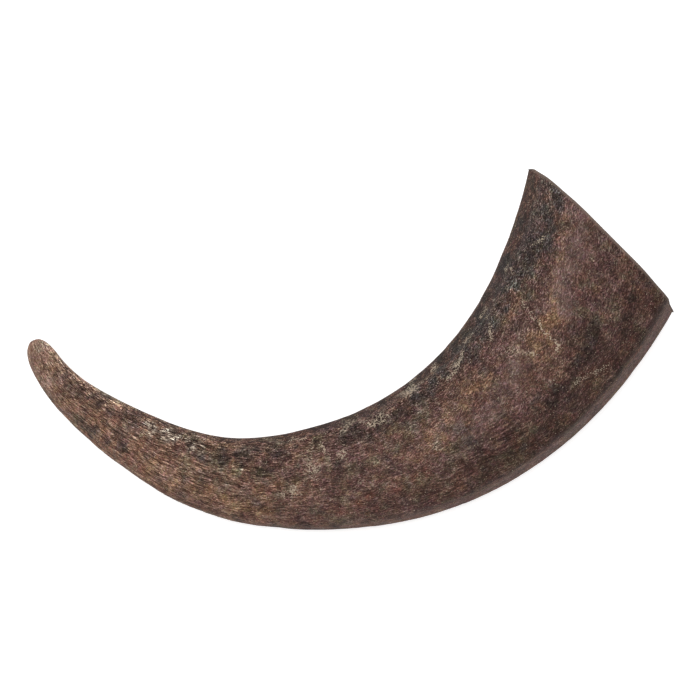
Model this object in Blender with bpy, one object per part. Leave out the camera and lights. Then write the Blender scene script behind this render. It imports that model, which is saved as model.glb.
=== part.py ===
"""A water buffalo horn: one hollow, crescent-shaped piece, sawn off straight at its base.

Metres, +Z up. The horn lies on its broad side with the other broad side up. Its sawn base
is on the +X side and its blunt tip on the -X side, and the outer curve faces -Y.
The origin is the middle of the horn's box, at the height of the surface it lies on.
"""

import math

import bmesh
import bpy
import numpy as np
from mathutils import Vector, noise

MM = 0.001

# Growth line, the middle of the horn from the base to the tip, seen from above
HORN_LENGTH = 283.5 * MM
BASE_X = 97.9 * MM
BASE_Y = 42.6 * MM
LINE_STATIONS = (0.0, 0.15, 0.3, 0.45, 0.6, 0.75, 0.9, 1.0)
LINE_HEADINGS = (249.0, 236.0, 217.0, 197.0, 180.0, 154.0, 139.0, 110.0)

# The saw cut is upright, and slants across the growth line
SAW_HEADING = 225.0
SAW_SLANT_REACH = 1.1

# Half of the horn's breadth and thickness, and how far the growth line climbs off the surface
SIZE_STATIONS = (0.0, 0.1, 0.2, 0.35, 0.5, 0.65, 0.8, 0.9, 1.0)
HALF_BREADTHS = (39.5, 36.0, 32.5, 27.5, 22.0, 16.5, 11.5, 8.0, 5.0)
HALF_THICKNESSES = (24.0, 22.8, 21.4, 19.0, 16.4, 13.4, 10.2, 7.6, 4.8)
CLIMBS = (24.0, 22.8, 21.4, 18.9, 16.1, 13.1, 10.7, 9.4, 8.6)

# Blunt tip: its share of the length, and how square its nose is
TIP_SHARE = 0.035
TIP_SQUARENESS = 2.4

# Outline of the horn just behind the saw cut, from the middle of the inner curve over the
# top to the outer curve and back underneath, as shares of the half breadth and thickness
INNER_SIDE = (-1.0, -0.3)
OUTER_SIDE = (1.0, -0.4)
KEEL_CORNER = (0.8, 0.6)
BASE_OUTLINE = (
    INNER_SIDE,
    (-0.9, 0.2),
    (-0.7, 0.75),
    (-0.4, 1.0),
    (0.1, 1.0),
    (0.5, 0.95),
    KEEL_CORNER,
    (0.9, 0.1),
    OUTER_SIDE,
    (0.9, -0.8),
    (0.6, -0.95),
    (0.1, -1.0),
    (-0.4, -0.95),
    (-0.8, -0.8),
    (-0.95, -0.6),
)
OUTLINE_STEPS = 960
CURVE_STEP = 0.05
ROUND_FROM = 0.2
ROUND_BY = 0.9

# Lengthwise lines of the surface: where they lie on the base outline, half width as a share of
# the way around it, height, and the share of the length by which the line has run out.
# Below zero is a groove.
KEEL = (KEEL_CORNER, 0.016, 0.8 * MM, 0.60)
KEEL_GROOVE = ((0.65, 0.8), 0.022, -0.7 * MM, 0.50)
INNER_VALLEY = ((-0.6, 0.9), 0.028, -1.2 * MM, 0.60)
INNER_RIM = ((-0.8, 0.5), 0.024, 0.6 * MM, 0.70)
UNDER_GROOVE = ((-0.6, -0.9), 0.035, -1.4 * MM, 0.55)
LENGTHWISE_LINES = (KEEL, KEEL_GROOVE, INNER_VALLEY, INNER_RIM, UNDER_GROOVE)

# Growth ledges: places along the length where the horn steps in by a little
LEDGE_STATIONS = (0.075, 0.14, 0.215, 0.30, 0.375, 0.47, 0.57)
LEDGE_HEIGHT = 0.65 * MM
LEDGE_RUN = 0.055
LEDGE_LIP = 0.12
LEDGE_WANDER = 0.016
LEDGE_WAVES = 4
LEDGE_PATTERN_STEP = (0.7, 3.1)

# A lengthwise line keeps its full height up to this share of its run-out
LINE_FADE_FROM = 0.35

# Lumps and flutes of the rough skin
LUMP_SIZE = 21.0 * MM
LUMP_HEIGHT = 0.65 * MM
FLUTE_LENGTH = 70.0 * MM
FLUTE_SPACING = 9.0 * MM
FLUTE_HEIGHT = 0.45 * MM
GIRTH = 170.0 * MM

# The relief keeps its full height where the horn is thicker than this share of the base
FULL_RELIEF = 0.625

# Sides that are worn smooth: where they lie on the base outline, half width as a share of the
# way around it, and the share of the ledges, lumps and flutes that is gone
WORN_SIDES = ((OUTER_SIDE, 0.08, 0.8), (INNER_SIDE, 0.09, 0.85))

# Hollow, seen only from the sawn end
HOLLOW_REACH = 0.44
HOLLOW_END = 0.455
HOLLOW_STATIONS = (0.0, 0.08, 0.16, 0.24, 0.32, 0.39, 0.44)
HOLLOW_SHARES = (0.76, 0.745, 0.71, 0.65, 0.54, 0.38, 0.18)
HOLLOW_ROUNDNESS = 0.55

# Mesh
AROUND = 48
OUTER_RINGS = 80
TIP_RINGS = 5
HOLLOW_RINGS = 14
SHARP_EDGE = math.radians(50)

# Finish
HORN_COLOUR = (0.112, 0.071, 0.056, 1.0)
HORN_ROUGHNESS = 0.72


def law(stations, values, share):
    """A smooth curve through a few values, read at shares of the horn's length."""
    xs = np.asarray(stations, dtype=float)
    ys = np.asarray(values, dtype=float)
    slopes = np.gradient(ys, xs)
    i = int(np.clip(np.searchsorted(xs, share, side="right") - 1, 0, len(xs) - 2))
    width = xs[i + 1] - xs[i]
    t = (share - xs[i]) / width
    start = (2 * t**3 - 3 * t**2 + 1) * ys[i] + (t**3 - 2 * t**2 + t) * width * slopes[i]
    end = (-2 * t**3 + 3 * t**2) * ys[i + 1] + (t**3 - t**2) * width * slopes[i + 1]
    return float(start + end)


def ease(low, high, value):
    """0 below low, 1 above high, and a smooth step between them."""
    t = min(max((value - low) / (high - low), 0.0), 1.0)
    return t * t * (3 - 2 * t)


def closed_curve(points, count):
    """That many points, evenly spaced, on a smooth closed curve through the given ones."""
    pts = np.asarray(points)
    fine = []
    for i in range(len(pts)):
        p0, p1, p2, p3 = (pts[(i + k) % len(pts)] for k in (-1, 0, 1, 2))
        for t in np.arange(0, 1, CURVE_STEP):
            bend = 2 * p0 - 5 * p1 + 4 * p2 - p3
            swing = 3 * p1 - p0 - 3 * p2 + p3
            fine.append(0.5 * (2 * p1 + (p2 - p0) * t + bend * t**2 + swing * t**3))
    fine = np.array(fine + [fine[0]])
    run = np.concatenate(([0.0], np.cumsum(np.linalg.norm(np.diff(fine, axis=0), axis=1))))
    places = np.arange(count) / count * run[-1]
    return np.stack([np.interp(places, run, fine[:, k]) for k in (0, 1)], axis=1)


def growth_line(count=400):
    """Points on the middle of the horn, from base to tip, by steps along its heading."""
    shares = np.linspace(0, 1, count)
    headings = np.radians([law(LINE_STATIONS, LINE_HEADINGS, s) for s in shares])
    ways = np.stack([np.cos(headings), np.sin(headings)], axis=1)
    steps = (ways[1:] + ways[:-1]) / 2 * HORN_LENGTH / (count - 1)
    points = np.concatenate(([[0.0, 0.0]], np.cumsum(steps, axis=0)))
    return shares, points + (BASE_X, BASE_Y)


def place_around(point):
    """How far around the base outline, as a share of it, the place nearest to a point is."""
    apart = np.linalg.norm(closed_curve(BASE_OUTLINE, OUTLINE_STEPS) - point, axis=1)
    return int(np.argmin(apart)) / OUTLINE_STEPS


LINE_SHARES, LINE_POINTS = growth_line()
BASE_RING = closed_curve(BASE_OUTLINE, AROUND)
ROUND_RING = BASE_RING / np.linalg.norm(BASE_RING, axis=1)[:, None]
LINES_AROUND = [(place_around(point), *rest) for point, *rest in LENGTHWISE_LINES]
WORN_AROUND = [(place_around(point), *rest) for point, *rest in WORN_SIDES]


def frame_at(share):
    """The growth line's point there, and the way across the horn, towards its outer curve."""
    x = np.interp(share, LINE_SHARES, LINE_POINTS[:, 0])
    y = np.interp(share, LINE_SHARES, LINE_POINTS[:, 1])
    z = law(SIZE_STATIONS, CLIMBS, share) * MM
    slant = (SAW_HEADING - LINE_HEADINGS[0]) * max(1 - share / SAW_SLANT_REACH, 0) ** 2
    across = math.radians(law(LINE_STATIONS, LINE_HEADINGS, share) + 90 + slant)
    return Vector((x, y, z)), Vector((math.cos(across), math.sin(across), 0))


def nose(share):
    """How much of its size the horn keeps there: all of it, until the tip rounds off."""
    past = min(max((share - 1 + TIP_SHARE) / TIP_SHARE, 0), 1)
    return (1 - past**TIP_SQUARENESS) ** (1 / TIP_SQUARENESS)


def relief(share, turn, point):
    """How far the skin stands out there, at a share of the length and a turn around it."""
    height = 0.0
    for n, station in enumerate(LEDGE_STATIONS):
        pattern = [step * n for step in LEDGE_PATTERN_STEP]
        wander = LEDGE_WANDER * noise.noise(Vector((LEDGE_WAVES * turn, *pattern)))
        past = (share - station - wander) / LEDGE_RUN
        if 0 < past < 1:
            height -= LEDGE_HEIGHT * (1 - past) ** 2 * ease(0, LEDGE_LIP, past)
    height += LUMP_HEIGHT * noise.noise(point / LUMP_SIZE)
    around = Vector((math.cos(math.tau * turn), math.sin(math.tau * turn)))
    girth = GIRTH / math.tau / FLUTE_SPACING
    along = share * HORN_LENGTH / FLUTE_LENGTH
    height += FLUTE_HEIGHT * noise.noise(Vector((along, around.x * girth, around.y * girth)))
    for place, half_width, lost in WORN_AROUND:
        apart = abs((turn - place + 0.5) % 1 - 0.5)
        height *= 1 - lost * math.exp(-((apart / half_width) ** 2))
    for place, half_width, rise, run_out in LINES_AROUND:
        fade = 1 - ease(LINE_FADE_FROM * run_out, run_out, share)
        height += rise * fade * math.exp(-(((turn - place) / half_width) ** 2))
    return height


def outer_ring(share):
    """The horn's skin at a share of its length: flat-sided at the base, round at the tip."""
    middle, across = frame_at(share)
    breadth = law(SIZE_STATIONS, HALF_BREADTHS, share) * MM * nose(share)
    thickness = law(SIZE_STATIONS, HALF_THICKNESSES, share) * MM * nose(share)
    roundness = ease(ROUND_FROM, ROUND_BY, share)
    calm = min(thickness / (HALF_THICKNESSES[0] * MM * FULL_RELIEF), 1)
    ring = []
    for j in range(AROUND):
        u, v = BASE_RING[j] * (1 - roundness) + ROUND_RING[j] * roundness
        point = middle + across * (u * breadth) + Vector((0, 0, v * thickness))
        outwards = (across * (u / breadth) + Vector((0, 0, v / thickness))).normalized()
        ring.append(point + outwards * relief(share, j / AROUND, point) * calm)
    return ring


def hollow_ring(share):
    """The wall of the hollow there: the skin's outline made smaller and rounder."""
    middle, across = frame_at(share)
    breadth = law(SIZE_STATIONS, HALF_BREADTHS, share) * MM
    thickness = law(SIZE_STATIONS, HALF_THICKNESSES, share) * MM
    size = law(HOLLOW_STATIONS, HOLLOW_SHARES, share)
    ring = []
    for j in range(AROUND):
        u, v = BASE_RING[j] * (1 - HOLLOW_ROUNDNESS) + ROUND_RING[j] * HOLLOW_ROUNDNESS
        offset = across * (u * breadth) + Vector((0, 0, v * thickness))
        ring.append(middle + offset * size)
    return ring


def horn_rings():
    """Every ring of the horn, from the nose over the skin and the cut into the hollow."""
    body = list(np.linspace(0, 1 - TIP_SHARE, OUTER_RINGS))
    turns = [math.pi / 2 * k / TIP_RINGS for k in range(1, TIP_RINGS)]
    tip = [1 - TIP_SHARE + TIP_SHARE * math.sin(turn) for turn in turns]
    skin = [outer_ring(share) for share in reversed(body + tip)]
    hollow = [hollow_ring(share) for share in np.linspace(0, HOLLOW_REACH, HOLLOW_RINGS)]
    return skin + hollow


def loft(rings, first_end, last_end):
    """One closed skin through the rings, brought to a point at each end."""
    bm = bmesh.new()
    rows = [[bm.verts.new(point) for point in ring] for ring in rings]
    for row, following in zip(rows, rows[1:]):
        for j in range(AROUND):
            k = (j + 1) % AROUND
            bm.faces.new((row[j], row[k], following[k], following[j]))
    for row, end in ((rows[0], first_end), (rows[-1], last_end)):
        point = bm.verts.new(end)
        for j in range(AROUND):
            bm.faces.new((row[j], row[(j + 1) % AROUND], point))
    bmesh.ops.recalc_face_normals(bm, faces=bm.faces)
    return bm


def rest_on_surface(bm):
    """Bring the middle of the horn's box over the origin and its lowest point to the surface."""
    low = Vector([min(v.co[k] for v in bm.verts) for k in range(3)])
    high = Vector([max(v.co[k] for v in bm.verts) for k in range(3)])
    shift = Vector((-(low.x + high.x) / 2, -(low.y + high.y) / 2, -low.z))
    bmesh.ops.translate(bm, verts=bm.verts, vec=shift)


def horn_finish():
    """Dull, weathered brown keratin."""
    material = bpy.data.materials.new("weathered_horn")
    material.use_nodes = True
    shader = material.node_tree.nodes["Principled BSDF"]
    shader.inputs["Base Color"].default_value = HORN_COLOUR
    shader.inputs["Roughness"].default_value = HORN_ROUGHNESS
    shader.inputs["Metallic"].default_value = 0.0
    return material


def make_horn(collection):
    """The whole horn, which grew as one piece."""
    tip_point = frame_at(1.0)[0]
    hollow_end = frame_at(HOLLOW_END)[0]
    bm = loft(horn_rings(), tip_point, hollow_end)
    rest_on_surface(bm)
    mesh = bpy.data.meshes.new("horn")
    bm.to_mesh(mesh)
    bm.free()
    mesh.materials.append(horn_finish())
    mesh.shade_smooth()
    mesh.set_sharp_from_angle(angle=SHARP_EDGE)
    horn = bpy.data.objects.new("horn", mesh)
    collection.objects.link(horn)


def main():
    for old in list(bpy.data.objects):
        bpy.data.objects.remove(old)
    collection = bpy.data.collections.new("water_buffalo_horn")
    bpy.context.scene.collection.children.link(collection)
    make_horn(collection)


main()
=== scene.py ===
"""A weathered water buffalo horn, sawn off at its base, lying on a pale studio floor.

Metres, +Z up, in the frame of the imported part: the blunt tip is at the left, the sawn base at
the upper right, and the camera looks straight down on the horn's broad side.
"""

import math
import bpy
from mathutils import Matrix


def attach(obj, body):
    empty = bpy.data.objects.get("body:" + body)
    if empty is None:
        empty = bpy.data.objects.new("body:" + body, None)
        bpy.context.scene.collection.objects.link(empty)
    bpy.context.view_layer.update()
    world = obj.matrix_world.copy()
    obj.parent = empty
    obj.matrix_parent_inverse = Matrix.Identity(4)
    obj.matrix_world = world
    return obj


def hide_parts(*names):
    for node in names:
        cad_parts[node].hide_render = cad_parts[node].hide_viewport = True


bl_info = {
    "name": "Water buffalo horn",
    "version": (1, 0, 0),
    "blender": (4, 5, 0),
    "location": "View3D > Sidebar > Horn",
    "description": "Grows the weathered skin of a sawn buffalo horn and sets its studio",
    "category": "Object",
}

import bpy
import numpy as np
from bpy.props import FloatProperty, FloatVectorProperty, PointerProperty
from mathutils import Vector, noise

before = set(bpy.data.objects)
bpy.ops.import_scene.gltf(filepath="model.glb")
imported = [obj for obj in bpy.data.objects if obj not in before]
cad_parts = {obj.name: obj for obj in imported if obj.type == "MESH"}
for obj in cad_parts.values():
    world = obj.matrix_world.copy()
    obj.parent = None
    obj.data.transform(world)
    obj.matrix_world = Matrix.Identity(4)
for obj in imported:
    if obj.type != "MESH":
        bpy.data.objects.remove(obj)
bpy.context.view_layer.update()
PACKED_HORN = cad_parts["horn"]

MM = 0.001

# Growth line, the middle of the horn from the base to the tip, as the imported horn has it: its
# length and start, and its heading at shares of its length, in degrees from +X
HORN_LENGTH = 283.5 * MM
BASE_X = 97.9 * MM
BASE_Y = 42.6 * MM
LINE_STATIONS = (0.0, 0.15, 0.3, 0.45, 0.6, 0.75, 0.9, 1.0)
LINE_HEADINGS = (249.0, 236.0, 217.0, 197.0, 180.0, 154.0, 139.0, 110.0)
LINE_STEPS = 400

# The saw cut is square to this heading, and its slant dies out of the horn's sections over this
# share of the length
SAW_HEADING = 225.0
SAW_SLANT_REACH = 1.1

# Half breadths and half thicknesses of the horn in mm, and how high its middle lies
SIZE_STATIONS = (0.0, 0.1, 0.2, 0.35, 0.5, 0.65, 0.8, 0.9, 1.0)
HALF_BREADTHS = (39.5, 36.0, 32.5, 27.5, 22.0, 16.5, 11.5, 8.0, 5.0)
HALF_THICKNESSES = (24.0, 22.8, 21.4, 19.0, 16.4, 13.4, 10.2, 7.6, 4.8)
CLIMBS = (24.0, 22.8, 21.4, 18.9, 16.1, 13.1, 10.7, 9.4, 8.6)

# A point can belong to a station of the growth line up to this many half breadths beside it
REACH_ASIDE = 1.5

# Where a face counts as the wall of the hollow: share of the length, and of the horn's section
HOLLOW_REACH = 0.46
HOLLOW_SIZE = 0.85

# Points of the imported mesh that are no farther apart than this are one
MERGE_GAP = 0.01 * MM

# What counts as the saw cut: how near its plane a point is, how squarely a packed face looks out
# of it, and for faces after the rounding of its edges, how squarely and how deep
CUT_POINT_GAP = 0.05 * MM
CUT_FACING = 0.95
CUT_FACING_EASED = 0.8
CUT_DEPTH_EASED = 0.2 * MM

# Order of the horn's finishes
SKIN, SAWN, HOLLOW = range(3)

# Rounds of subdivision, and of pushing the points out before them
FINER_ROUNDS = 2
SWELL_ROUNDS = 2

# Grown coordinates: metres along the horn, and a round of this radius at the base, which
# shrinks with a power of the horn's breadth
ROUND_RADIUS = 27.0 * MM
ROUND_POWER = 0.5

# Lines along the horn, as angles around it: 0 is the outer curve, 90 the top, 180 the inner
# curve. Angle, half width in degrees, and the shares of the length between which it runs out,
# past 1 where it doesn't
# Along the inner band the skin is covered with grey-black slate
INNER_BAND = (150.0, 17.0, 0.20, 0.50)
KEEL = (24.0, 5.0, 0.20, 0.60)
# Painted shade: a dark band beside the keel, on the side that slopes away from the light
KEEL_SHADE_BAND = (36.0, 9.0, 0.18, 0.50)
# Lines of painted shade on the outer slope and on the inner side; the outer one also holds the
# horn's own darker brown
OUTER_SHADE = (50.0, 28.0, 0.30, 0.54)
INNER_SHADE = (168.0, 38.0, 0.72, 0.96)
FACET = (1.0, 13.0, 0.26, 0.50)
ROUGH_SIDE = (158.0, 34.0, 1.2, 1.5)

# How much darker the skin is painted along the two lines of shade: painted shade on both, and on
# the outer one also the horn's own darker brown
OUTER_DIM = 0.36
INNER_DIM = 0.63

# Sides that are worn smooth: angle, half width in degrees, and the share of the relief gone.
# Towards the thin tip the relief gets lower too, from where the horn's thickness times this
# number is less than the base's
WORN_SIDES = ((-12.0, 28.0, 0.8), (188.0, 32.0, 0.8))
THIN_END = 1.6

# Lightness of the skin along the horn, before its stains
TONE_STATIONS = (0.0, 0.4, 0.6, 0.8, 1.0)
TONES = (0.88, 0.94, 1.04, 1.31, 1.38)

# Growth ledges: shares of the length at which the skin steps in, and each step's height in mm
LEDGES = (
    (0.04, 0.20), (0.10, 0.30), (0.16, 0.22), (0.21, 0.34), (0.26, 0.24), (0.30, 0.30),
    (0.35, 0.22), (0.40, 0.36), (0.47, 0.40), (0.50, 0.24), (0.55, 0.34), (0.58, 0.30),
    (0.62, 0.20), (0.68, 0.36), (0.73, 0.22), (0.77, 0.40), (0.86, 0.30), (0.91, 0.18),
)

# How far a ledge's step runs out and how far it wanders, as shares of the length, and how much of
# its run the lip takes
LEDGE_RUN = 0.026
LEDGE_WANDER = 0.012
LEDGE_LIP = 0.10

# Where the wander is read from noise: the radius of a turn around the horn, and the gap between
# two ledges. Their strength is the least one, and what a patch of noise adds to it
LEDGE_NOISE_RADIUS = 1.6
LEDGE_NOISE_GAP = 3.7
LEDGE_LEAST = 0.35
LEDGE_GAIN = 0.9

# Sizes of the relief's patterns, a coarse and a fine one each, how many times as long as wide the
# flutes are, and the share of the crust's height that is there between its patches
LUMP_SIZES = (7.0 * MM, 3.2 * MM)
FLUTE_SIZES = (3.4 * MM, 1.5 * MM)
CRUST_SIZES = (11.0 * MM, 2.3 * MM)
PIT_SIZES = (13.0 * MM, 2.6 * MM)
FLUTE_LENGTH = 12
CRUST_LEAST = 0.35

# Share of the length over which the relief rises from the saw cut
RELIEF_START = 0.008

# Sines of the angle around the horn between which its stains run out, below its sides
STAINS_RUN_OUT = (-0.45, -0.05)

# Runs of stains on the upper broad side. Each has its kind, the shares of the length where it
# starts and ends, how far across it lies at each of them (-1 is the outer curve, 1 the inner
# one), and the number, the radius in mm and the strength of its stains
STAIN_RUNS = (
    ("slate", 0.00, 0.38, 0.70, 0.78, 26, 3.2, 0.85),
    ("slate", -0.01, 0.11, 0.68, 0.72, 9, 3.6, 0.9),
    ("slate", 0.04, 0.40, 0.97, 0.98, 14, 3.4, 0.8),
    ("dark", 0.02, 0.56, 1.00, 0.96, 18, 3.2, 0.8),
    ("crust", 0.08, 0.34, 0.84, 0.86, 8, 1.7, 0.8),
    ("ochre", 0.07, 0.19, 0.36, 0.10, 12, 2.8, 1.0),
    ("mauve", 0.20, 0.34, 0.10, -0.10, 9, 4.2, 0.7),
    ("dark", 0.10, 0.21, -0.30, -0.40, 6, 3.4, 0.9),
    ("dark", 0.02, 0.12, -0.55, -0.70, 4, 3.4, 0.7),
    ("mauve", 0.00, 0.12, 0.40, 0.22, 11, 4.2, 0.9),
    ("pale", 0.18, 0.24, 0.42, 0.20, 3, 3.0, 0.6),
    ("ochre", 0.26, 0.38, 0.40, 0.24, 7, 3.2, 0.8),
    ("pale", 0.30, 0.38, 0.18, 0.00, 5, 3.6, 0.45),
    ("slate", 0.31, 0.33, -0.14, -0.18, 2, 2.4, 0.6),
    ("dark", 0.36, 0.50, 0.76, 0.62, 9, 3.4, 0.9),
    ("crust", 0.36, 0.50, 0.84, 0.72, 6, 2.6, 0.8),
    ("dark", 0.14, 0.44, -0.50, -0.66, 10, 4.4, 0.6),
    ("moss", 0.38, 0.46, 0.30, 0.20, 3, 3.2, 0.7),
    ("russet", 0.38, 0.52, -0.20, -0.66, 6, 2.9, 0.8),
    ("dark", 0.44, 0.60, -0.86, -0.84, 6, 3.2, 0.6),
    ("crust", 0.50, 0.49, 0.80, -0.15, 8, 3.4, 0.8),
    ("ochre", 0.56, 0.62, 0.05, -0.05, 3, 3.6, 0.6),
    ("crust", 0.53, 0.58, 0.20, -0.12, 8, 3.8, 0.75),
    ("dark", 0.58, 0.68, 0.66, 0.56, 6, 3.2, 0.9),
    ("moss", 0.60, 0.70, 0.30, 0.36, 4, 3.0, 0.8),
    ("slate", 0.69, 0.71, 0.36, 0.32, 2, 2.3, 0.75),
    ("ochre", 0.60, 0.76, -0.50, -0.45, 9, 3.8, 0.85),
    ("flaked", 0.70, 0.80, 0.56, 0.62, 7, 2.3, 1.0),
    ("ochre", 0.78, 0.86, 0.05, 0.15, 4, 3.0, 0.5),
    ("russet", 0.74, 0.80, -0.55, -0.60, 3, 3.0, 0.7),
    ("dark", 0.80, 0.88, -0.50, -0.60, 4, 2.6, 0.8),
    ("dark", 0.72, 0.95, 0.68, 0.50, 26, 2.8, 0.65),
    ("dark", 0.90, 0.99, -0.85, -0.60, 6, 1.7, 0.5),
    ("rasped", 0.24, 0.40, -0.34, -0.52, 7, 6.0, 1.0),
)
STAIN_KINDS = tuple(dict.fromkeys(run[0] for run in STAIN_RUNS))

# How the stains of a run differ: the part of its step where each lies, its stray to the side as a
# share of the half breadth, and its radius and strength as shares of the run's. Each fades from
# its middle, the more steeply the bigger the last number
STAIN_SEED = 7
STAIN_STEPS = (0.1, 0.9)
STAIN_STRAY = 0.07
STAIN_RADII = (0.7, 1.25)
STAIN_STRENGTHS = (0.75, 1.0)
STAIN_FALL = 0.7

# Lines of pale crumbs across the horn, where an outer layer has flaked off along a ledge: the
# share of the length and the place across at both ends, the half width in mm, and the strength
CRUMB_LINES = (
    (0.09, 0.71, 0.07, 0.65, 0.7, 0.8),
    (0.16, 0.55, 0.16, -0.12, 0.8, 0.9),
    (0.17, -0.51, 0.12, -0.68, 0.7, 0.7),
    (0.22, 0.76, 0.23, 0.62, 0.8, 1.0),
    (0.22, 0.42, 0.19, 0.07, 0.8, 0.8),
    (0.32, 0.64, 0.28, 0.78, 1.0, 0.9),
    (0.37, -0.02, 0.37, -0.10, 0.9, 0.9),
    (0.53, 0.68, 0.52, 0.42, 0.7, 0.7),
    (0.55, 0.30, 0.54, 0.08, 0.7, 0.7),
    (0.58, 0.85, 0.55, 0.80, 0.7, 0.8),
)

# How the edges of stains and crumb lines wander: size of the lumps, and reach
STAIN_WANDER = (5.0 * MM, 2.2 * MM)
CRUMB_WANDER = (4.0 * MM, 1.6 * MM)

# Stains scattered all over: their kind, the size in mm and the seed of their pattern, the values
# of it between which they fade in, and how much they cover
SCATTERED_STAINS = (
    ("moss", 8.5, 3, 0.52, 0.66, 0.60),
    ("ochre", 5.5, 4, 0.56, 0.72, 0.42),
    ("russet", 6.0, 5, 0.55, 0.68, 0.35),
    ("mauve", 9.0, 18, 0.56, 0.70, 0.35),
    ("pale", 5.0, 6, 0.58, 0.74, 0.25),
    ("dark", 7.5, 7, 0.53, 0.68, 0.45),
    ("slate", 7.0, 8, 0.57, 0.72, 0.40),
)

# Sizes of the skin's other colour patterns. Some are drawn out along their X by so many times, and
# a third number turns that X by so many degrees
EDGE_SIZE = 2.4 * MM
CLOUD_SIZE = 15.0 * MM
FIBRES = (0.38 * MM, (11, 1, 1))
RIBS = (1.0 * MM, (9, 1, 1))
HAIRS = (0.38 * MM, (7, 1, 1))
HAIR_TURNS = (4.0, -16.0, 24.0)
GRAIN = (0.30 * MM, (2.2, 1, 1), 3.0)
GAP_SIZE = 0.9 * MM
SPOT_SIZE = 1.9 * MM
BLOT_SIZE = 4.5 * MM
RASP = (0.60 * MM, (20, 1, 1), 25.0)
FLAKE_SIZE = 0.55 * MM
FLAKE_RIM_SIZE = 1.5 * MM
FLAKE_SPREAD = 8.0 * MM
SCALES = (1.9 * MM, (2.2, 1, 1))

# Patterns of the cut, whose saw marks are drawn out upwards, and of the hollow's wall
DRIFT_SIZE = 6.0 * MM
SAW_MARKS = (0.75 * MM, (1, 1, 18))
CUT_SPECK_SIZE = 0.7 * MM
FURROWS = (0.9 * MM, (14, 1, 1))
WALL_CLOUD_SIZE = 8.0 * MM
WALL_GRAIN_SIZE = 0.6 * MM

# How the fibres and hairs are pushed about: size of the lumps, and reach
FIBRE_SWAY = (16.0 * MM, 3.0 * MM)
FIBRE_SHAKE = (3.5 * MM, 0.6 * MM)
HAIR_TANGLE = (5.0 * MM, 2.0 * MM)

# Layers of the cut, thin and broad ones: radians from the middle of the horn to the skin, and by
# how many the noise shifts them
CUT_LAYERS = ((52.0, 9.0), (17.0, 5.0))

# Specks in which the skin's hue wanders: their size, and how strongly
HUE_WANDERS = ((0.8 * MM, 0.42), (4.0 * MM, 0.23))

# How strongly the skin mirrors light, where 0.5 is Blender's usual plastic
SKIN_SPECULAR = 0.06

# How much of a round the worn corner keeps, where 0 is a flat one
CORNER_LEFT = 0.55

# Studio: side of the floor, place and side of the softbox in metres, width of the camera's frame
# in millimetres
FLOOR_SIDE = 6.0
SOFTBOX_PLACE = (-0.18, 0.25, 1.3)
SOFTBOX_SIDE = 0.9
FRAME_WIDTH = 36.0


def law(stations, values, share):
    """A smooth curve through a few values, read at shares of the horn's length."""
    xs = np.asarray(stations, dtype=float)
    ys = np.asarray(values, dtype=float)
    slopes = np.gradient(ys, xs)
    share = np.asarray(share, dtype=float)
    i = np.clip(np.searchsorted(xs, share, side="right") - 1, 0, len(xs) - 2)
    width = xs[i + 1] - xs[i]
    t = (share - xs[i]) / width
    start = (2 * t**3 - 3 * t**2 + 1) * ys[i] + (t**3 - 2 * t**2 + t) * width * slopes[i]
    end = (-2 * t**3 + 3 * t**2) * ys[i + 1] + (t**3 - t**2) * width * slopes[i + 1]
    return start + end


def ease(low, high, value):
    """0 below low, 1 above high, and a smooth step between them."""
    t = np.clip((np.asarray(value, dtype=float) - low) / (high - low), 0, 1)
    return t * t * (3 - 2 * t)


def growth_line():
    """Stations of the horn: share of the length, middle, and the ways along and across it."""
    shares = np.linspace(0, 1, LINE_STEPS)
    headings = np.radians(law(LINE_STATIONS, LINE_HEADINGS, shares))
    ways = np.stack([np.cos(headings), np.sin(headings)], axis=1)
    steps = (ways[1:] + ways[:-1]) / 2 * HORN_LENGTH / (LINE_STEPS - 1)
    line = np.concatenate(([[0.0, 0.0]], np.cumsum(steps, axis=0))) + (BASE_X, BASE_Y)
    slant = (SAW_HEADING - LINE_HEADINGS[0]) * np.maximum(1 - shares / SAW_SLANT_REACH, 0) ** 2
    turns = headings + np.radians(90 + slant)
    across = np.stack([np.cos(turns), np.sin(turns)], axis=1)
    along = np.stack([np.sin(turns), -np.cos(turns)], axis=1)
    return shares, line, along, across


def place_on_horn(points):
    """For points of the horn: share of its length, and how far out they are, across and up,
    as shares of the half breadth and half thickness there."""
    shares, line, along, across = growth_line()
    gaps = points[:, None, :2] - line[None]
    ahead = (gaps * along).sum(axis=2)
    aside = (gaps * across).sum(axis=2)
    half_breadths = law(SIZE_STATIONS, HALF_BREADTHS, shares) * MM
    rows = np.arange(len(points))
    # a station that is too far to the side counts as a metre farther ahead
    astray = np.abs(aside) > REACH_ASIDE * half_breadths
    nearest = (np.abs(ahead) + astray).argmin(axis=1)
    step = np.where(ahead[rows, nearest] > 0, 1, -1)
    beside = np.clip(nearest + step, 0, LINE_STEPS - 1)
    here, there = ahead[rows, nearest], ahead[rows, beside]
    part = np.clip(here / np.where(np.abs(here - there) < 1e-9, 1, here - there), 0, 1)
    share = shares[nearest] + (shares[beside] - shares[nearest]) * part
    offset = aside[rows, nearest] + (aside[rows, beside] - aside[rows, nearest]) * part
    breadth = law(SIZE_STATIONS, HALF_BREADTHS, share) * MM
    thickness = law(SIZE_STATIONS, HALF_THICKNESSES, share) * MM
    climb = law(SIZE_STATIONS, CLIMBS, share) * MM
    return share, offset / breadth, (points[:, 2] - climb) / thickness


def bumps(places, size, seed=0.0):
    """Smooth noise between -1 and 1 at those places, with lumps of about that size."""
    scaled = np.asarray(places) / size + seed
    return np.array([noise.noise(Vector(place)) for place in scaled])


def turned_from(middle, angle):
    """How many degrees each angle is away from the middle one, between -180 and 180."""
    return (angle - middle + 180) % 360 - 180


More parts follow.
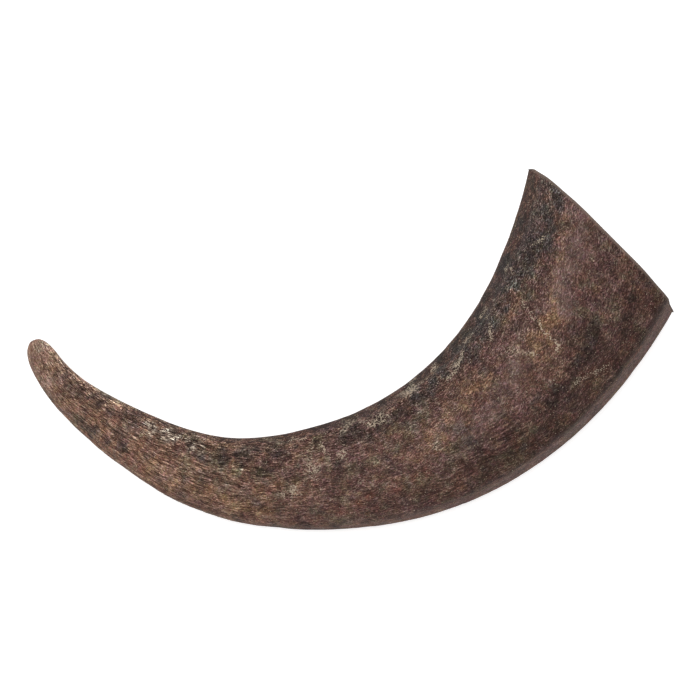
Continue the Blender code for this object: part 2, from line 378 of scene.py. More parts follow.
def line_on_skin(line, share, angle):
    """How near each point is to a line along the horn: 1 on it, fading to 0 beside it."""
    middle, half_width, fade_from, fade_by = line
    beside = turned_from(middle, angle) / half_width
    return np.exp(-(beside**2)) * (1 - ease(fade_from, fade_by, share))


def saw_line():
    """A point on the saw cut, and its outward direction."""
    _, line, along, _ = growth_line()
    return Vector((*line[0], 0)), Vector((*-along[0], 0))


def number_setting(name, description, value, unit="NONE"):
    """A number that the user can change."""
    return FloatProperty(name=name, description=description, default=value, unit=unit)


def length_setting(name, description, value):
    """A length that the user can change, in metres."""
    return number_setting(name, description, value, "LENGTH")


def colour_setting(name, description, value):
    """A colour that the user can change, as linear values."""
    return FloatVectorProperty(name=name, description=description, default=value, subtype="COLOR")


class HornShape(bpy.types.PropertyGroup):
    """Sizes of the skin's fine relief and of the worn edges of the cut."""

    rim: length_setting("Sawn rim", "Rounding of the two edges of the saw cut", 0.28 * MM)
    lumps: length_setting("Lumps", "Height of the low lumps under the skin", 0.30 * MM)
    flutes: length_setting("Flutes", "Height of the fine ribs along the horn", 0.22 * MM)
    corner: length_setting("Worn corner", "How far the cut's inner corner is worn back", 1.4 * MM)
    crust: length_setting("Crust", "Height of the flaking outer layer", 0.16 * MM)
    pits: length_setting("Pits", "Depth of the small worn pits", 0.25 * MM)
    bed: length_setting(
        "Bed", "How far the skin is sunk to be level with the packed horn", 0.06 * MM
    )
    keel: length_setting("Keel", "How far the keel stands out more than as packed", 0.25 * MM)


class HornColours(bpy.types.PropertyGroup):
    """Colours of the horn, as linear values."""

    brown: colour_setting("Brown", "The skin, and the cut's outer edge", (0.096, 0.0514, 0.0390))
    tan: colour_setting("Tan", "The warmer brown of the tip's half", (0.112, 0.0584, 0.0385))
    plum: colour_setting("Plum", "Broad clouds of a greyer, redder brown", (0.081, 0.0435, 0.0370))
    # Dark also paints shade: the band beside the keel, and deep in the hollow
    dark: colour_setting(
        "Dark", "Blotches, the keel's band, cracks, and deep in the hollow", (0.032, 0.021, 0.018)
    )
    slate: colour_setting("Slate", "Grey-black patches, and the valley", (0.042, 0.0336, 0.031))
    ochre: colour_setting("Ochre", "Orange stains", (0.158, 0.088, 0.052))
    russet: colour_setting("Russet", "Reddish stains", (0.108, 0.046, 0.034))
    moss: colour_setting("Moss", "Olive stains", (0.094, 0.071, 0.047))
    mauve: colour_setting("Mauve", "Smooth grey-red patches", (0.142, 0.0865, 0.076))
    pale: colour_setting("Pale", "Pale patches", (0.185, 0.1255, 0.104))
    crust: colour_setting("Crust", "Flakes of the outer layer", (0.560, 0.455, 0.340))
    scale: colour_setting("Scale", "Cracked scales of the tip's half", (0.210, 0.155, 0.120))
    tip: colour_setting("Tip", "The worn tip", (0.150, 0.0930, 0.068))
    facet: colour_setting("Facet", "The smooth strip outside the keel", (0.086, 0.0520, 0.0455))
    # Rim is a painted highlight, a lighter colour along the rounded edge beside the saw cut
    rim: colour_setting("Rim", "The worn edge beside the saw cut", (0.190, 0.140, 0.115))
    sawn: colour_setting("Sawn horn", "The dense horn of the cut", (0.050, 0.040, 0.034))
    hollow: colour_setting("Hollow", "The wall inside", (0.150, 0.110, 0.080))


class HornStage(bpy.types.PropertyGroup):
    """Camera, light and floor."""

    camera_height: length_setting("Camera height", "Height of the camera above the floor", 1.0)
    camera_x: length_setting("Camera x", "Place of the camera along X", 0.4 * MM)
    camera_y: length_setting("Camera y", "Place of the camera along Y", -0.4 * MM)
    lens: number_setting("Lens", "Focal length, in millimetres, of a 36 mm wide frame", 130.3)
    sky: number_setting("Sky", "Strength of the even light from all around", 0.615)
    softbox: number_setting("Softbox", "Power of the big overhead light", 11.2, "POWER")
    glow: number_setting("Floor glow", "Light that the backlit floor gives off", 0.50)
    floor: colour_setting("Floor", "Colour of the floor", (0.92, 0.92, 0.92))


def rgba(colour):
    """A colour with nothing see-through."""
    return (*colour, 1.0)


class Finish:
    """A material in the making. Most methods add nodes and hand back what comes out of them."""

    def __init__(self, name):
        self.material = bpy.data.materials.new(name)
        self.material.use_nodes = True
        self.tree = self.material.node_tree
        self.shader = self.tree.nodes["Principled BSDF"]
        self.place = self.node("TexCoord").outputs["Object"]

    def feed(self, socket, value):
        """Give a socket a value or the output of another node."""
        if isinstance(value, bpy.types.NodeSocket):
            self.tree.links.new(value, socket)
        else:
            socket.default_value = value

    def node(self, kind, feeds=(), **settings):
        """A new node with its settings, and what is fed into it."""
        made = self.tree.nodes.new("ShaderNode" + kind)
        for name, value in settings.items():
            setattr(made, name, value)
        for name, value in dict(feeds).items():
            self.feed(made.inputs[name], value)
        return made

    def stored(self, name):
        """An attribute of the mesh, one number for each point."""
        return self.node("Attribute", attribute_name=name).outputs["Fac"]

    def grown(self):
        """The coordinates that run along and around the horn."""
        return self.node("Attribute", attribute_name="grown").outputs["Vector"]

    def sum(self, *terms):
        """Terms added up, each a value or a (value, weight) pair."""
        total = None
        for term in terms:
            value, weight = term if isinstance(term, tuple) else (term, 1.0)
            feeds = {0: value, 1: weight, 2: 0.0 if total is None else total}
            total = self.node("Math", feeds, operation="MULTIPLY_ADD").outputs[0]
        return total

    def math(self, operation, first, second=0.0):
        """One step of arithmetic on one or two values."""
        return self.node("Math", {0: first, 1: second}, operation=operation).outputs[0]

    def fade(self, value, low, high, start=0.0, end=1.0):
        """Start below low, end above high, and a smooth step between."""
        feeds = {"Value": value, 1: low, 2: high, 3: start, 4: end}
        kind = {"interpolation_type": "SMOOTHSTEP"}
        return self.node("MapRange", feeds, **kind).outputs[0]

    def mapped(self, where, size, stretch=(1, 1, 1), turn=0.0, seed=0):
        """Coordinates scaled to a pattern of that size, drawn out along a turned X."""
        feeds = {
            "Vector": where,
            "Location": (0.137 * seed, 0.071 * seed, 0.053 * seed),
            "Rotation": (0.0, 0.0, math.radians(turn)),
            "Scale": tuple(size * part for part in stretch),
        }
        return self.node("Mapping", feeds, vector_type="TEXTURE").outputs[0]

    def noise(self, where, size, stretch=(1, 1, 1), turn=0.0, seed=0, detail=2.0, rough=0.5):
        """Cloudy noise, about 0.5 on average."""
        vector = self.mapped(where, size, stretch, turn, seed)
        feeds = {"Vector": vector, "Scale": 1.0, "Detail": detail, "Roughness": rough}
        return self.node("TexNoise", feeds).outputs["Fac"]

    def centred(self, noise):
        """Noise brought to 0 on average."""
        return self.math("SUBTRACT", noise, 0.5)

    def noises(self, where, size, seed):
        """Three noises at a time, about 0.5 on average each."""
        feeds = {"Vector": self.mapped(where, size, seed=seed), "Scale": 1.0, "Detail": 1.0}
        return self.node("TexNoise", feeds).outputs["Color"]

    def across(self, direction):
        """How far each point is along a direction."""
        feeds = {0: self.place, 1: direction}
        return self.node("VectorMath", feeds, operation="DOT_PRODUCT").outputs["Value"]

    def shaken(self, where, size, reach, seed):
        """Coordinates pushed about by noise, by about that reach."""
        push = {0: self.noises(where, size, seed), 1: (0.5, 0.5, 0.5)}
        middle = self.node("VectorMath", push, operation="SUBTRACT").outputs[0]
        scaled = {0: middle, 1: (reach,) * 3, 2: where}
        return self.node("VectorMath", scaled, operation="MULTIPLY_ADD").outputs[0]

    def hues(self, size, strength):
        """A near-white tint that wanders in hue from speck to speck."""
        wander = self.noises(self.place, size, seed=17)
        steady = {0: wander, 1: (strength,) * 3, 2: (1 - strength / 2,) * 3}
        return self.node("VectorMath", steady, operation="MULTIPLY_ADD").outputs[0]

    def mix(self, factor, first, second, way="MIX"):
        """Two colours mixed by a factor."""
        made = self.tree.nodes.new("ShaderNodeMix")
        made.data_type = "RGBA"
        made.blend_type = way
        made.clamp_factor = True
        for index, value in ((0, factor), (6, first), (7, second)):
            self.feed(made.inputs[index], value)
        return made.outputs[2]

    def times(self, colour, factor):
        """A colour made lighter or darker by a factor, a little warmer where it is darker."""
        warm = [self.math("POWER", factor, power) for power in (0.91, 1.0, 1.02)]
        grey = self.node("CombineColor", {0: warm[0], 1: warm[1], 2: warm[2]}).outputs[0]
        return self.mix(1.0, colour, grey, "MULTIPLY")

    def bump(self, height, reach, strength):
        """The surface's normals, tilted by a height."""
        feeds = {"Height": height, "Distance": reach, "Strength": strength}
        return self.node("Bump", feeds).outputs[0]

    def shade(self, colour, roughness, normal):
        """What the shader gets in the end."""
        for name, value in (("Base Color", colour), ("Roughness", roughness), ("Normal", normal)):
            self.feed(self.shader.inputs[name], value)


class WeatheredSkin(Finish):
    """The outside: brown, stained and flaking, with fine fibres along the horn."""

    def __init__(self, colours):
        super().__init__("weathered_horn_skin")
        self.colours = colours
        self.share = self.stored("share")
        ragged = self.noise(self.place, EDGE_SIZE, detail=3.0, rough=0.65, seed=2)
        self.broken = self.centred(ragged)
        self.clouds = self.noise(self.place, CLOUD_SIZE, detail=3.0, seed=1)
        self.facet = self.edged("facet", 0.60, 0.40, 0.85)

    def edged(self, name, ragged, low, high, most=1.0):
        """A stored amount that fades in between two values, with its edge broken up by noise."""
        amount = self.sum(self.stored(name), (self.broken, ragged))
        return self.fade(amount, low, high, 0.0, most)

    def cover(self, colour, name, factor):
        """A colour covered with one of the horn's colours, as far as the factor goes."""
        return self.mix(factor, colour, rgba(getattr(self.colours, name)))

    def stained(self):
        """Clouds of two browns, warmer towards the tip, with the stains over them."""
        clouded = self.fade(self.clouds, 0.40, 0.60)
        colour = self.cover(rgba(self.colours.brown), "plum", clouded)
        colour = self.cover(colour, "tan", self.edged("share", 0.2, 0.48, 0.80, 0.75))
        for kind, size, seed, low, high, most in SCATTERED_STAINS:
            patch = self.noise(self.place, size * MM, detail=2.0, seed=seed)
            loose = self.fade(self.sum(patch, (self.broken, 0.25)), low, high, 0.0, most)
            placed = self.edged(kind, 1.0, 0.12, 0.80, 0.90)
            colour = self.cover(colour, kind, self.math("MAXIMUM", loose, placed))
        return colour

    def striped(self, colour):
        """What runs along the horn: the grey-black inner band, a painted shade in a dark band
        beside the keel, the facet, and the worn tip.
        """
        colour = self.cover(colour, "slate", self.edged("inner_band", 1.0, 0.25, 1.1, 0.50))
        # painted shade beside the keel, in the dark colour
        colour = self.cover(colour, "dark", self.edged("band", 0.9, 0.30, 1.1, 0.65))
        colour = self.cover(colour, "facet", self.math("MULTIPLY", self.facet, 0.62))
        return self.cover(colour, "tip", self.edged("share", 0.05, 0.90, 1.0, 0.60))

    def fibres(self):
        """Light and dark fibres along the horn, and the ribs under them."""
        swaying = self.shaken(self.grown(), *FIBRE_SWAY, seed=1)
        along = self.shaken(swaying, *FIBRE_SHAKE, seed=3)
        fibres = self.noise(along, *FIBRES, seed=1, detail=1.0, rough=0.6)
        ribs = self.noise(along, *RIBS, seed=2, detail=1.0)
        light = self.fade(fibres, 0.53, 0.64)
        dark = self.fade(fibres, 0.47, 0.36)
        return self.sum(light, (dark, -1.25), (self.centred(ribs), 1.8))

    def hairs(self, tangled):
        """Short light hairs, in layers that cross."""
        hairs = 0.0
        for seed, turn in enumerate(HAIR_TURNS, start=3):
            layer = self.noise(tangled, *HAIRS, turn, seed, detail=0.0)
            hairs = self.math("MAXIMUM", hairs, self.fade(layer, 0.62, 0.70))
        return hairs

    def scratches(self):
        """Light and dark scratches of a rasp, all one way, where the skin is rasped."""
        rasp = self.noise(self.place, *RASP, seed=16, detail=0.0)
        light = self.fade(rasp, 0.56, 0.66)
        dark = self.fade(rasp, 0.44, 0.34)
        return self.math("MULTIPLY", self.sum(light, (dark, -1.0)), self.stored("rasped"))

    def fine_marks(self):
        """Fibres on the tip's half, crossed hairs more on the rest, and all the smaller marks."""
        tangled = self.shaken(self.grown(), *HAIR_TANGLE, seed=2)
        tipwards = self.sum(self.share, (self.broken, 0.35), (self.clouds, 0.3))
        at_end = self.fade(self.share, 0.93, 0.99, 1.0, 0.35)
        lengthwise = self.math("MULTIPLY", self.fade(tipwards, 0.56, 0.82, 0.12, 1.0), at_end)
        crossed = self.sum(1.1, (lengthwise, -0.40))
        grain = self.noise(tangled, *GRAIN, seed=9, detail=1.0, rough=0.7)
        gaps = self.noise(self.place, GAP_SIZE, detail=2.0, rough=0.6, seed=14)
        spots = self.noise(self.place, SPOT_SIZE, detail=2.0, seed=10)
        blots = self.noise(self.place, BLOT_SIZE, detail=2.0, seed=11)
        return self.sum(
            (self.math("MULTIPLY", self.fibres(), lengthwise), 1.25),
            (self.math("MULTIPLY", self.hairs(tangled), crossed), 1.3),
            (self.fade(gaps, 0.44, 0.34), -0.9),
            (self.centred(grain), 6.0),
            (self.centred(spots), 1.4),
            (self.centred(blots), 1.6),
            (self.scratches(), 1.2),
        )

    def tone(self, fine):
        """What the fine marks make of the lightness: most on the rough side, least on mauve."""
        contrast = self.sum(
            self.fade(self.facet, 0.0, 1.0, 0.88, 0.92),
            (self.stored("rugged"), 0.80),
            (self.stored("mauve"), -0.42),
            (self.stored("rasped"), -0.12),
        )
        return self.math("POWER", 2.0, self.math("MULTIPLY", fine, contrast))

    def flakes(self):
        """Pale flakes of the outer layer: crumbs, thin crooked rims, and lines of crumbs."""
        flake = self.noise(self.place, FLAKE_SIZE, detail=1.0, seed=12)
        spread = self.noise(self.place, FLAKE_SPREAD, detail=3.0, seed=13)
        dense = self.sum(
            self.fade(spread, 0.45, 0.66, -0.11, 0.0),
            (self.stored("crust"), 0.19),
            (self.broken, 0.12),
            (self.stored("rugged"), 0.05),
        )
        crumbs = self.fade(self.sum(flake, (dense, 0.5)), 0.70, 0.73)
        rim = self.centred(self.noise(self.place, FLAKE_RIM_SIZE, detail=2.0, seed=15))
        rims = self.fade(self.math("ABSOLUTE", rim), 0.050, 0.022)
        crooked = self.math("MULTIPLY", rims, self.fade(dense, 0.03, 0.10))
        lines = self.fade(self.sum(flake, (self.stored("mark"), 0.27)), 0.71, 0.74)
        return self.math("MAXIMUM", self.math("MAXIMUM", crumbs, crooked), lines)

    def scaly(self, colour, tone):
        """Cracked scales where the tip's half flakes."""
        where = self.mapped(self.grown(), *SCALES, seed=17)
        cells = self.node("TexVoronoi", {"Vector": where, "Scale": 1.0}, feature="DISTANCE_TO_EDGE")
        inside = self.fade(cells.outputs["Distance"], 0.03, 0.10)
        scale = self.cover(rgba(self.colours.dark), "scale", inside)
        flaked = self.edged("flaked", 1.2, 0.30, 0.75, 0.78)
        return self.mix(flaked, colour, self.times(scale, tone))

    def worn(self, colour):
        """Darker in the low places and lighter on the high ones, partly dirt and wear and partly
        painted shade and light of the relief; and a painted highlight along the edge beside the saw
        cut.
        """
        # Painted shade and light of the relief, partly dirt and wear: darker where it is low,
        # lighter where it is high
        colour = self.times(colour, self.fade(self.stored("relief"), -0.6, 0.6, 0.78, 1.22))
        middle, outwards = saw_line()
        cut = middle.dot(outwards)
        # Painted highlight: a lighter colour along the rounded edge beside the saw cut
        rim = self.fade(self.across(outwards), cut - 1.3 * MM, cut - 0.2 * MM, 0.0, 0.75)
        return self.cover(colour, "rim", rim)


def weathered_skin(colours):
    """The finish of the outside: stains, fine marks, flakes, wear, and painted shade and
    highlights, one over the other.
    """
    skin = WeatheredSkin(colours)
    fine = skin.fine_marks()
    tone = skin.tone(fine)
    flakes = skin.flakes()
    # The stored tone carries the painted shade of the two sides
    colour = skin.times(skin.striped(skin.stained()), skin.stored("tone"))
    colour = skin.times(colour, tone)
    for size, strength in HUE_WANDERS:
        colour = skin.mix(1.0, colour, skin.hues(size, strength), "MULTIPLY")
    colour = skin.cover(colour, "crust", skin.math("MULTIPLY", flakes, 0.66))
    colour = skin.worn(skin.scaly(colour, tone))
    rough = skin.fade(skin.sum(tone, (flakes, 0.5), (skin.facet, -0.8)), 0.0, 2.0, 0.60, 0.88)
    height = skin.sum((fine, 0.10), (flakes, 0.35))
    skin.shade(colour, rough, skin.bump(height, 0.35 * MM, 0.8))
    skin.shader.inputs["Specular IOR Level"].default_value = SKIN_SPECULAR
    return skin.material


def sawn_horn(colours):
    """The cut: dense dark horn in thin layers, with the marks of the saw across it."""
    cut = Finish("sawn_horn")
    depth = cut.stored("depth")
    drift = cut.noise(cut.place, DRIFT_SIZE, detail=2.0)
    waves = (cut.sum((depth, pace), (drift, shift)) for pace, shift in CUT_LAYERS)
    thin, broad = (cut.math("SINE", wave) for wave in waves)
    teeth = cut.noise(cut.place, *SAW_MARKS, seed=3, detail=2.0, rough=0.6)
    specks = cut.noise(cut.place, CUT_SPECK_SIZE, detail=2.0, seed=4)
    tone = cut.sum(
        (thin, 0.30),
        (broad, 0.40),
        (cut.centred(teeth), 3.0),
        (cut.centred(specks), 1.2),
    )
    colour = cut.times(rgba(colours.sawn), cut.math("POWER", 2.0, tone))
    outer = cut.fade(cut.sum(depth, (drift, 0.1)), 0.86, 1.02, 0.0, 0.7)
    colour = cut.mix(outer, colour, rgba(colours.brown))
    height = cut.sum((teeth, 0.7), (thin, 0.15))
    cut.shade(colour, cut.fade(tone, -1.0, 1.0, 0.42, 0.62), cut.bump(height, 0.12 * MM, 0.6))
    return cut.material


def hollow_wall(colours):
    """The inside: paler and matt, with furrows along it, and painted shade that makes it darker
    towards its end.
    """
    wall = Finish("hollow_wall")
    furrows = wall.noise(wall.grown(), *FURROWS, detail=3.0, rough=0.6)
    clouds = wall.noise(wall.place, WALL_CLOUD_SIZE, detail=3.0)
    grain = wall.noise(wall.place, WALL_GRAIN_SIZE, detail=2.0, seed=2)
    tone = wall.sum(
        (wall.centred(furrows), 3.0),
        (wall.centred(clouds), 2.5),
        (wall.centred(grain), 2.0),
    )
    colour = wall.times(rgba(colours.hollow), wall.math("POWER", 2.0, tone))
    # Painted shade: darker deeper in the hollow
    deep = wall.fade(wall.stored("share"), 0.05, 0.40, 0.0, 0.6)
    colour = wall.mix(deep, colour, rgba(colours.dark))
    wall.shade(colour, 0.82, wall.bump(furrows, 0.5 * MM, 0.7))
    return wall.material


def horn_points(mesh):
    """Where the mesh's points are, one row for each."""
    points = np.empty(len(mesh.vertices) * 3)
    mesh.vertices.foreach_get("co", points)
    return points.reshape(-1, 3)


def store(mesh, name, values):
    """Keep a number, or a vector, for each point of the mesh."""
    values = np.asarray(values, dtype=np.float32)
    kind = "FLOAT_VECTOR" if values.ndim == 2 else "FLOAT"
    field = "vector" if values.ndim == 2 else "value"
    attribute = mesh.attributes.new(name, kind, "POINT")
    attribute.data.foreach_set(field, values.ravel())


def stored(mesh, name):
    """What store has kept for each point."""
    attribute = mesh.attributes[name]
    wide = attribute.data_type == "FLOAT_VECTOR"
    values = np.empty(len(attribute.data) * (3 if wide else 1), dtype=np.float32)
    attribute.data.foreach_get("vector" if wide else "value", values)
    return (values.reshape(-1, 3) if wide else values).astype(float)


def copy_packed_horn():
    """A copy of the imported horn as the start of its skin, in quads and with its points joined."""
    bpy.ops.object.select_all(action="DESELECT")
    horn = bpy.data.objects.new("horn_skin", PACKED_HORN.data.copy())
    bpy.context.scene.collection.objects.link(horn)
    horn.select_set(True)
    bpy.context.view_layer.objects.active = horn
    bpy.ops.object.mode_set(mode="EDIT")
    bpy.ops.mesh.select_all(action="SELECT")
    bpy.ops.mesh.remove_doubles(threshold=MERGE_GAP)
    bpy.ops.mesh.customdata_custom_splitnormals_clear()
    bpy.ops.mesh.tris_convert_to_quads(face_threshold=math.pi, shape_threshold=math.pi)
    bpy.ops.object.mode_set(mode="OBJECT")
    return horn


def ease_saw_edges(horn, radius):
    """Round off the two edges of the sawn face, which are picked by place and direction."""
    mesh = horn.data
    middle, outwards = saw_line()
    on_cut = [abs((v.co - middle).dot(outwards)) < CUT_POINT_GAP for v in mesh.vertices]
    faces_at = {}
    for polygon in mesh.polygons:
        for key in polygon.edge_keys:
            faces_at.setdefault(key, []).append(polygon.normal.dot(outwards) > CUT_FACING)
    bpy.ops.object.mode_set(mode="EDIT")
    bpy.ops.mesh.select_mode(type="EDGE")
    bpy.ops.mesh.select_all(action="DESELECT")
    bpy.ops.object.mode_set(mode="OBJECT")
    for edge in mesh.edges:
        a, b = edge.vertices
        beside = faces_at.get(tuple(sorted((a, b))), [])
        edge.select = on_cut[a] and on_cut[b] and any(beside) and not all(beside)
    bpy.ops.object.mode_set(mode="EDIT")
    bpy.ops.mesh.bevel(offset=radius, segments=2, profile=0.5)
    bpy.ops.object.mode_set(mode="OBJECT")


def give_finishes(horn, colours):
    """Sort the faces into skin, sawn face and hollow wall by where they are."""
    mesh = horn.data
    mesh.materials.clear()
    for finish in (weathered_skin(colours), sawn_horn(colours), hollow_wall(colours)):
        mesh.materials.append(finish)
    middle, outwards = saw_line()
    centres = np.array([polygon.center for polygon in mesh.polygons])
    share, aside, up = place_on_horn(centres)
    in_hollow = (share < HOLLOW_REACH) & (np.hypot(aside, up) < HOLLOW_SIZE)
    for polygon, hollow in zip(mesh.polygons, in_hollow):
        facing = polygon.normal.dot(outwards) > CUT_FACING_EASED
        if facing and (polygon.center - middle).dot(outwards) > -CUT_DEPTH_EASED:
            polygon.material_index = SAWN
        else:
            polygon.material_index = HOLLOW if hollow else SKIN


def store_growth(mesh):
    """Keep for each point where it is along and around the horn."""
    share, aside, up = place_on_horn(horn_points(mesh))
    reach = np.maximum(np.hypot(aside, up), 1e-6)
    breadth = law(SIZE_STATIONS, HALF_BREADTHS, share) / HALF_BREADTHS[0]
    radius = ROUND_RADIUS * breadth**ROUND_POWER
    grown = np.stack([share * HORN_LENGTH, aside / reach * radius, up / reach * radius], axis=1)
    store(mesh, "grown", grown)
    store(mesh, "share", share)
    store(mesh, "depth", reach)


def refine(horn):
    """Subdivide the horn, with what is stored at its points carried along. The points are first
    pushed out by what the rounding would take off them."""
    finer = horn.modifiers.new("finer", "SUBSURF")
    finer.levels = finer.render_levels = FINER_ROUNDS
    finer.uv_smooth = "NONE"
    target = horn_points(horn.data)
    for _ in range(SWELL_ROUNDS):
        rounded = horn.evaluated_get(bpy.context.evaluated_depsgraph_get()).data
        lost = target - horn_points(rounded)[: len(target)]
        horn.data.vertices.foreach_set("co", (horn_points(horn.data) + lost).ravel())
        horn.data.update()
    bpy.ops.object.modifier_apply(modifier=finer.name)


def skin_weight(mesh):
    """1 on the outside, 0 in the hollow and on the sawn face, with a short run between."""
    weight = np.ones(len(mesh.vertices))
    for polygon in mesh.polygons:
        if polygon.material_index != SKIN:
            weight[list(polygon.vertices)] = 0
    return weight * ease(0.0, RELIEF_START, stored(mesh, "share"))


def ledge_steps(share, angle):
    """Growth ledges: each a lip that the skin falls from, running out towards the tip, in mm."""
    turn = np.radians(angle)
    around = LEDGE_NOISE_RADIUS * np.stack([np.cos(turn), np.sin(turn)], axis=1)
    height = np.zeros(len(share))
    for n, (station, rise) in enumerate(LEDGES):
        spots = np.column_stack([around, np.full(len(share), LEDGE_NOISE_GAP * n)])
        wander = LEDGE_WANDER * bumps(spots, 1.0)
        patch = ease(-0.25, 0.35, bumps(spots, 0.7, seed=5.0))
        strength = LEDGE_LEAST + LEDGE_GAIN * patch
        past = (share - station - wander) / LEDGE_RUN
        inside = (past > 0) & (past < 1)
        drop = (1 - past) ** 2 * ease(0, LEDGE_LIP, past)
        height -= np.where(inside, rise * strength * drop, 0)
    return height


def two_sizes(places, sizes, weights, seed=0.0):
    """Bumps of a coarse and a fine size added up, each with its weight."""
    return weights[0] * bumps(places, sizes[0]) + weights[1] * bumps(places, sizes[1], seed)


def patchy(points, sizes, seed, patches, specks):
    """How much of a patch, and of a speck, is at each point, both from 0 to 1. Each is given by
    the two values of its noise between which it fades in."""
    patch = ease(*patches, bumps(points, sizes[0], seed))
    speck = ease(*specks, bumps(points, sizes[1], seed + 2))
    return patch, speck


def fine_relief(shape, points, share, angle, grown):
    """How far the skin stands out at each point, in metres."""
    height = ledge_steps(share, angle) * MM
    height += shape.lumps * two_sizes(points, LUMP_SIZES, weights=(1.0, 0.5), seed=3.0)
    flute_places = grown * (1 / FLUTE_LENGTH, 1, 1)
    height += shape.flutes * two_sizes(flute_places, FLUTE_SIZES, weights=(0.6, 1.0))
    flaking, flakes = patchy(points, CRUST_SIZES, 7.0, patches=(-0.15, 0.25), specks=(-0.05, 0.2))
    height += shape.crust * flakes * (CRUST_LEAST + (1 - CRUST_LEAST) * flaking)
    pitted, pits = patchy(points, PIT_SIZES, 11.0, patches=(0.0, 0.35), specks=(0.28, 0.5))
    height -= shape.pits * pitted * pits
    for middle, half_width, lost in WORN_SIDES:
        height *= 1 - lost * np.exp(-((turned_from(middle, angle) / half_width) ** 2))
    height += shape.keel * line_on_skin(KEEL, share, angle)
    thickness = law(SIZE_STATIONS, HALF_THICKNESSES, share) / HALF_THICKNESSES[0]
    return height * np.minimum(thickness * THIN_END, 1) - shape.bed


def scatter_stains():
    """The stains of every run: kind, share of the length, place across, radius and strength."""
    draws = np.random.default_rng(STAIN_SEED)
    stains = []
    for kind, start, end, across, across_end, count, radius, strength in STAIN_RUNS:
        for n in range(count):
            part = (n + draws.uniform(*STAIN_STEPS)) / count
            share = start + (end - start) * part
            place = across + (across_end - across) * part + draws.normal(0, STAIN_STRAY)
            size = radius * draws.uniform(*STAIN_RADII) * MM
            covering = strength * draws.uniform(*STAIN_STRENGTHS)
            stains.append((kind, share, place, size, covering))
    return stains


def spread_out(share, inwards):
    """Places on the upper side in metres, along the horn and across it."""
    breadth = law(SIZE_STATIONS, HALF_BREADTHS, share) * MM
    return np.column_stack([share * HORN_LENGTH, inwards * breadth])


def stain(kind, stains, spots):
    """How strongly a kind of stain colours each spot."""
    amount = np.zeros(len(spots))
    for name, share, place, radius, strength in stains:
        if name == kind:
            middle = spread_out(np.array([share]), np.array([place]))[0]
            apart = np.linalg.norm(spots - middle, axis=1) / radius
            amount = np.maximum(amount, strength * np.exp(-(apart**2) * STAIN_FALL))
    return amount


def crumb_lines(spots):
    """How near each spot is to a line of pale crumbs."""
    amount = np.zeros(len(spots))
    for share, place, share_end, place_end, half_width, strength in CRUMB_LINES:
        shares, places = np.array([share, share_end]), np.array([place, place_end])
        start, end = spread_out(shares, places)
        way = end - start
        part = np.clip((spots - start) @ way / (way @ way), 0, 1)
        apart = np.linalg.norm(spots - start - part[:, None] * way, axis=1) / (half_width * MM)
        amount = np.maximum(amount, strength * np.exp(-(apart**2)))
    return amount


def pushed(spots, points, size, reach, seeds):
    """The spots moved about by noise, so that what is drawn on them gets a wandering edge."""
    push = np.column_stack([bumps(points, size, seed) for seed in seeds])
    return spots + reach * push


def wear_corner(points, depth):
    """Wear off the corner where the saw cut meets the inner curve, and leave it round."""
    _, line, along, across = growth_line()
    corner = line[0] - across[0] * HALF_BREADTHS[0] * MM
    outwards = -(across[0] + along[0]) / math.sqrt(2)
    excess = np.maximum((points[:, :2] - corner) @ outwards + depth, 0)
    kept = depth * (1 - np.exp(-excess / depth)) * CORNER_LEFT
    points[:, :2] -= (excess - kept)[:, None] * outwards


def raise_relief(mesh, shape, share, angle):
    """Move the points out along their normals by the fine relief, but not below the floor."""
    points = horn_points(mesh)
    normals = np.empty(len(mesh.vertices) * 3)
    mesh.vertices.foreach_get("normal", normals)
    height = fine_relief(shape, points, share, angle, stored(mesh, "grown")) * skin_weight(mesh)
    raised = points + normals.reshape(-1, 3) * height[:, None]
    raised[:, 2] = np.maximum(raised[:, 2], 0)
    wear_corner(raised, shape.corner)
    mesh.vertices.foreach_set("co", raised.ravel())
    mesh.update()
    store(mesh, "relief", height / MM)


def place_stains(mesh, points, share, angle):
    """Keep for each point how much of each kind of stain and of the crumb lines it has."""
    upper = ease(*STAINS_RUN_OUT, np.sin(np.radians(angle)))
    spots = spread_out(share, -place_on_horn(points)[1])
    stains = scatter_stains()
    stain_spots = pushed(spots, points, *STAIN_WANDER, seeds=(1.0, 21.0))
    for kind in STAIN_KINDS:
        store(mesh, kind, stain(kind, stains, stain_spots) * upper)
    crumb_spots = pushed(spots, points, *CRUMB_WANDER, seeds=(31.0, 41.0))
    store(mesh, "mark", crumb_lines(crumb_spots) * upper)


def weather(mesh, shape):
    """Raise the fine relief on the skin, and keep what its finish needs to know."""
    # the points as they are before the relief moves them
    points = horn_points(mesh)
    share = stored(mesh, "share")
    grown = stored(mesh, "grown")
    angle = np.degrees(np.arctan2(grown[:, 2], grown[:, 1]))
    raise_relief(mesh, shape, share, angle)
    place_stains(mesh, points, share, angle)
    lines = (("inner_band", INNER_BAND), ("band", KEEL_SHADE_BAND), ("facet", FACET), ("rugged", ROUGH_SIDE))
    for name, line in lines:
        store(mesh, name, line_on_skin(line, share, angle))
    # Painted shade: the tone is darker along the outer and inner lines of shade, the outer one
    # partly the horn's own darker brown
    outer = 1 - OUTER_DIM * line_on_skin(OUTER_SHADE, share, angle)
    inner = 1 - INNER_DIM * line_on_skin(INNER_SHADE, share, angle)
    store(mesh, "tone", law(TONE_STATIONS, TONES, share) * outer * inner)


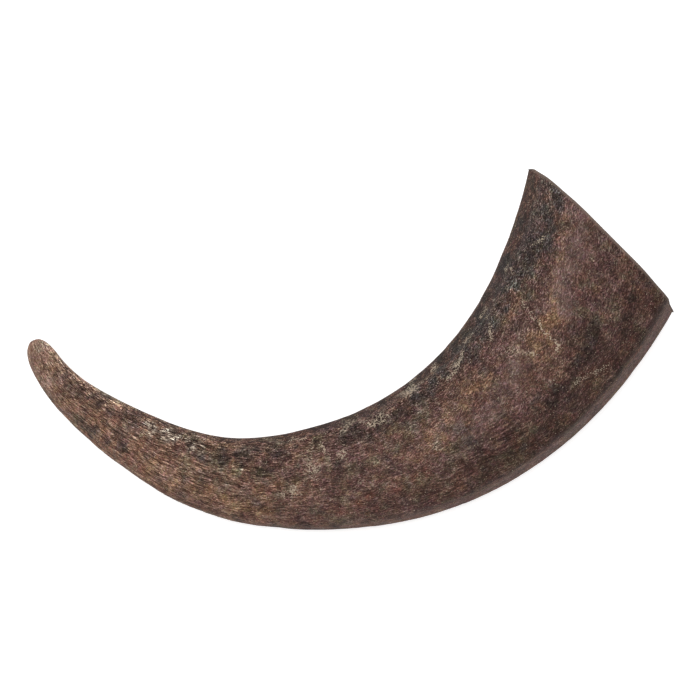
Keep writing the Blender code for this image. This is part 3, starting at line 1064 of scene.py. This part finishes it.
def lay_floor(stage):
    """A big pale floor that glows a little, as if lit from behind."""
    bpy.ops.object.select_all(action="DESELECT")
    bpy.ops.mesh.primitive_plane_add(size=FLOOR_SIDE)
    floor = bpy.context.object
    floor.name = "floor"
    paper = Finish("pale_floor")
    for name, value in (
        ("Base Color", rgba(stage.floor)),
        ("Roughness", 0.9),
        ("Specular IOR Level", 0.1),
        ("Emission Color", rgba(stage.floor)),
        ("Emission Strength", stage.glow),
    ):
        paper.shader.inputs[name].default_value = value
    floor.data.materials.append(paper.material)


def light_horn(scene, stage):
    """Even white light from all around, and a softbox that looks at the horn."""
    scene.world = bpy.data.worlds.new("even_light")
    scene.world.use_nodes = True
    sky = scene.world.node_tree.nodes["Background"]
    sky.inputs["Color"].default_value = rgba((1.0, 1.0, 1.0))
    sky.inputs["Strength"].default_value = stage.sky
    bpy.ops.object.light_add(type="AREA", location=SOFTBOX_PLACE)
    softbox = bpy.context.object
    softbox.name = "softbox"
    softbox.data.energy = stage.softbox
    softbox.data.size = SOFTBOX_SIDE
    softbox.rotation_euler = (-softbox.location).to_track_quat("-Z", "Y").to_euler()


def hang_camera(scene, stage):
    """A camera above the horn that looks straight down."""
    eye = (stage.camera_x, stage.camera_y, stage.camera_height)
    bpy.ops.object.camera_add(location=eye)
    camera = bpy.context.object
    camera.name = "camera"
    camera.data.sensor_width = FRAME_WIDTH
    camera.data.lens = stage.lens
    scene.camera = camera


class HORN_OT_make_skin(bpy.types.Operator):
    """Make the horn's weathered skin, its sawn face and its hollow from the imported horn"""

    bl_idname = "horn.make_skin"
    bl_label = "Make the horn"

    def execute(self, context):
        horn = copy_packed_horn()
        ease_saw_edges(horn, context.scene.horn_shape.rim)
        give_finishes(horn, context.scene.horn_colours)
        store_growth(horn.data)
        refine(horn)
        weather(horn.data, context.scene.horn_shape)
        bpy.ops.object.shade_smooth()
        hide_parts("horn")
        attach(horn, "root")
        return {"FINISHED"}


class HORN_OT_set_stage(bpy.types.Operator):
    """Set up the floor, the soft light and the camera above the horn"""

    bl_idname = "horn.set_stage"
    bl_label = "Set the stage"

    def execute(self, context):
        scene = context.scene
        lay_floor(scene.horn_stage)
        light_horn(scene, scene.horn_stage)
        hang_camera(scene, scene.horn_stage)
        scene.view_settings.view_transform = "Standard"
        return {"FINISHED"}


class HORN_PT_panel(bpy.types.Panel):
    """Lists the horn and its stage"""

    bl_label = "Water buffalo horn"
    bl_idname = "HORN_PT_panel"
    bl_space_type = "VIEW_3D"
    bl_region_type = "UI"
    bl_category = "Horn"

    def draw(self, context):
        scene = context.scene
        for group, operator in (
            (scene.horn_shape, None),
            (scene.horn_colours, "horn.make_skin"),
            (scene.horn_stage, "horn.set_stage"),
        ):
            for name in group.__annotations__:
                self.layout.prop(group, name)
            if operator:
                self.layout.operator(operator)


GROUPS = {"horn_shape": HornShape, "horn_colours": HornColours, "horn_stage": HornStage}
CLASSES = (*GROUPS.values(), HORN_OT_make_skin, HORN_OT_set_stage, HORN_PT_panel)


def register():
    """Make Blender know the classes, and give each scene the horn's values."""
    for made in CLASSES:
        bpy.utils.register_class(made)
    for name, group in GROUPS.items():
        setattr(bpy.types.Scene, name, PointerProperty(type=group))


def unregister():
    """Take away what register has added."""
    for name in GROUPS:
        delattr(bpy.types.Scene, name)
    for made in reversed(CLASSES):
        bpy.utils.unregister_class(made)


def main():
    """Make the horn and its stage."""
    register()
    bpy.ops.horn.make_skin()
    bpy.ops.horn.set_stage()


if __name__ == "__main__":
    main()
